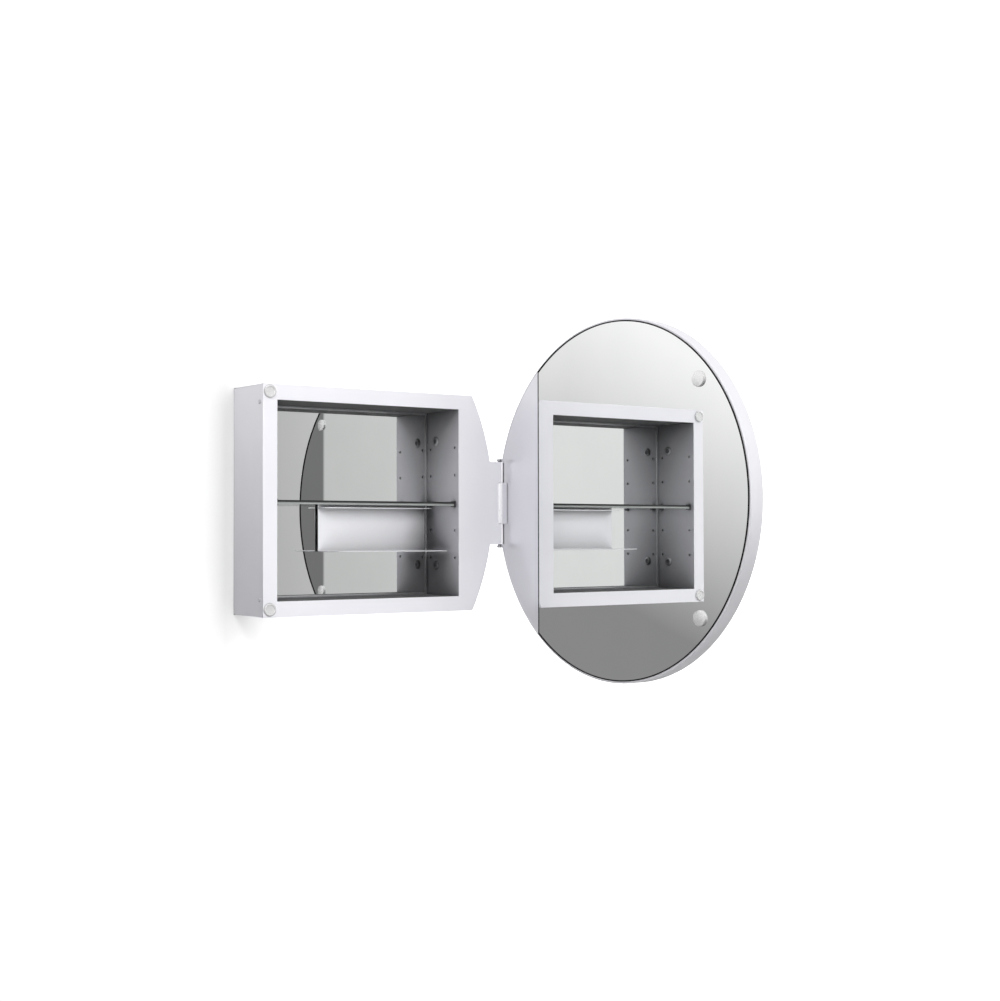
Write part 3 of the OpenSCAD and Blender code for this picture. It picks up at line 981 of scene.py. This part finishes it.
def dress(name, material):
    """Gives a CAD node its material and soft edges, with its shape as packed."""
    edge, same_place, edge_angle = 0.25 * MM, 1e-6, math.radians(40)
    obj = frame["nodes"][name]
    obj.data.materials.clear()
    obj.data.materials.append(material)
    weld = obj.modifiers.new("weld", "WELD")
    weld.merge_threshold = same_place
    bevel = obj.modifiers.new("soft_edges", "BEVEL")
    bevel.width, bevel.segments, bevel.limit_method = edge, 2, "ANGLE"
    bevel.angle_limit = edge_angle


# ---------------------------------------------------------------- stage, lights and camera

PURE_WHITE = (1, 1, 1, 1)
WALL_WHITE = (0.69, 0.69, 0.69, 1)
FLOOR_WHITE = (0.9, 0.9, 0.89, 1)

# The wall glows from nothing to full white between these two places along X
GLOW_START, GLOW_FULL = -0.19, -0.02

# What polished surfaces see toward the room is set by x / y; this is where the dark doorway ends
DOORWAY_EDGE = 0.568


def stage_sheet(name, loops, place, paint):
    """A flat sheet of the stage that mirrors don't see; paint makes its shader in the tree it is given."""
    bm = bmesh.new()
    edges = []
    for loop in loops:
        corners = [bm.verts.new(place(a, b)) for a, b in loop]
        edges += [bm.edges.new((corners[i - 1], corners[i])) for i in range(len(corners))]
    bmesh.ops.triangle_fill(bm, edges=edges, use_beauty=True)
    bm.normal_update()
    # The wall faces the room and the floor faces up
    for face in bm.faces:
        if face.normal.y > 0.5 or face.normal.z < -0.5:
            face.normal_flip()
    material, tree = new_material(name)
    close(tree, paint(tree))
    mesh = mesh_from(bm, name)
    mesh.materials.append(material)
    obj = linked(name, mesh)
    obj.visible_glossy = False


def wall_paint(tree):
    """White wall: plain paint on the left, where the cabinet's shadow falls, glowing white from the cabinet's
    middle to the right, and clear from behind."""
    place = object_place(tree)
    across = node(tree, "ShaderNodeSeparateXYZ", Vector=place).outputs["X"]
    glow = node(tree, "ShaderNodeEmission", Color=PURE_WHITE,
                Strength=ranged(tree, across, GLOW_START, GLOW_FULL, 0.0, 1.0))
    paint = node(tree, "ShaderNodeBsdfDiffuse", Color=WALL_WHITE)
    both = tree.nodes.new("ShaderNodeAddShader")
    tree.links.new(paint.outputs[0], both.inputs[0])
    tree.links.new(glow.outputs[0], both.inputs[1])
    behind = tree.nodes.new("ShaderNodeNewGeometry").outputs["Backfacing"]
    clear = tree.nodes.new("ShaderNodeBsdfTransparent")
    return mixed(tree, behind, both.outputs[0], clear.outputs[0])


def floor_paint(tree):
    """Plain pale floor."""
    return node(tree, "ShaderNodeBsdfDiffuse", Color=FLOOR_WHITE).outputs[0]


def stage():
    """The wall, open behind the casing so that its back shows from behind, and the floor."""
    floor_z, reach, wall_top = -1.3, 3.0, 1.6
    margin, behind_wall_plane = 4 * MM, 0.5 * MM
    hole = rectangle(-half_w + margin, -half_h + margin, half_w - margin, half_h - margin, hole=True)
    wall = [rectangle(-reach, floor_z, reach, wall_top), hole]
    stage_sheet("wall", wall, lambda a, b: (a, behind_wall_plane, b), wall_paint)
    stage_sheet("floor", [rectangle(-reach, -reach, reach, 0)], lambda a, b: (a, b, floor_z), floor_paint)


def area_light(name, place, size, power):
    """A soft box that points at the cabinet and that mirrors don't see."""
    light = bpy.data.lights.new(name, "AREA")
    light.shape, light.size, light.size_y, light.energy = "RECTANGLE", size[0], size[1], power
    obj = linked(name, light)
    obj.location = place
    obj.rotation_euler = (-Vector(place)).to_track_quat("-Z", "Y").to_euler()
    obj.visible_glossy = False


def lights():
    """A key from the front right, a small front light from above, two fills from the left and one behind."""
    area_light("key", (0.60, -2.3, 0.45), (0.7, 1.6), 18)
    area_light("front", (0.05, -2.2, 0.9), (0.5, 0.5), 8)
    area_light("fill_high", (-1.2, -1.8, 1.5), (1.0, 0.5), 28)
    area_light("fill_low", (-1.2, -1.8, -1.3), (1.0, 0.5), 17)
    area_light("behind", (0.3, 1.8, 0.8), (1.6, 1.2), 10)


def world():
    """Plain white for the camera, a dome that brightens upward for soft light, and grey cards for what
    polished surfaces see."""
    made = bpy.data.worlds.new("studio")
    bpy.context.scene.world = made
    made.use_nodes = True
    tree = made.node_tree
    tree.nodes.clear()
    way = tree.nodes.new("ShaderNodeTexCoord").outputs["Generated"]
    x, y, z = node(tree, "ShaderNodeSeparateXYZ", Vector=way).outputs

    # Toward the wall: a card that brightens upward and to the left, and darkens below the horizon
    by_height, by_left, left_least, offset = 3.82, -3.13, 2.06, -1.69
    darkest, brightest = 0.265, 1.0
    leftward = maths(tree, "MAXIMUM", maths(tree, "MULTIPLY", x, by_left), left_least)
    slope = maths(tree, "ADD", maths(tree, "MULTIPLY", z, by_height), leftward)
    card = maths(tree, "MAXIMUM", maths(tree, "ADD", slope, offset), darkest)
    card = maths(tree, "MINIMUM", card, brightest)
    card = maths(tree, "MULTIPLY", card, ranged(tree, z, -0.35, -0.13, 0.35, 1.0))
    # Toward the room: a dark doorway ahead and to the left up to its edge, a pale left side that brightens
    # outward from there, and a grey right side that brightens both ways from its darkest place
    shallowest = -0.05
    aside = maths(tree, "DIVIDE", x, maths(tree, "MINIMUM", y, shallowest))
    left = maths(tree, "ADD",
                 ranged(tree, aside, DOORWAY_EDGE - 0.001, DOORWAY_EDGE + 0.001, 0.19, 0.60),
                 ranged(tree, aside, DOORWAY_EDGE, DOORWAY_EDGE + 0.3, 0.0, 0.22))
    right = maths(tree, "ADD",
                  ranged(tree, aside, -0.62, -0.55, 0.58, 0.49),
                  ranged(tree, aside, -0.5, -0.3, 0.0, 0.35))
    right = maths(tree, "ADD", right, ranged(tree, aside, -1.8, -0.75, 0.22, 0.0))
    side = maths(tree, "GREATER_THAN", x, 0.0)
    room = node(tree, "ShaderNodeMix", Factor=side, A=left, B=right).outputs["Result"]
    rise = maths(tree, "MULTIPLY",
                 ranged(tree, z, -0.5, 0.5, 0.70, 1.30),
                 ranged(tree, z, -0.45, -0.12, 0.3, 1.0))
    room = maths(tree, "MULTIPLY", room, rise)
    roomward = ranged(tree, y, 0.15, -0.25, 0.0, 1.0)
    polished_sees = node(tree, "ShaderNodeMix", Factor=roomward, A=card, B=room).outputs["Result"]

    dome = ranged(tree, z, -0.6, 0.6, 0.18, 0.80)
    seen, gloss, soft = (
        node(tree, "ShaderNodeBackground", Color=PURE_WHITE, Strength=strength).outputs[0]
        for strength in (1.0, polished_sees, dome))
    path = tree.nodes.new("ShaderNodeLightPath").outputs
    bounced = maths(tree, "MAXIMUM", path["Is Glossy Ray"], path["Is Transmission Ray"])
    indirect = mixed(tree, bounced, soft, gloss)
    output = tree.nodes.new("ShaderNodeOutputWorld")
    tree.links.new(mixed(tree, path["Is Camera Ray"], indirect, seen), output.inputs["Surface"])


def camera():
    """The photograph's viewpoint, as fitted to the object's outlines in it."""
    place, tilt_up, turn_right = (-1.1034, -1.8184, -0.0413), 1.197, 31.651
    data = bpy.data.cameras.new("camera")
    data.lens, data.sensor_width, data.shift_x = 51.16, 36, 0.15
    obj = linked("camera", data)
    obj.location = place
    obj.rotation_euler = (math.radians(90 + tilt_up), 0, math.radians(-turn_right))
    bpy.context.scene.camera = obj


bpy.context.scene.view_settings.view_transform = "Standard"
camera()
face_frame()
casing()
liner()
back()
screws()
catch_magnets()
glass_shelf()
shelf_clips()
hinge_pin()
tray()
door_rim()
door_faces()
hinge_strip()
strike_discs()
dress("door_core", board)
dress("wall_bracket_left", galvanised)
dress("wall_bracket_right", galvanised)
stage()
lights()
world()
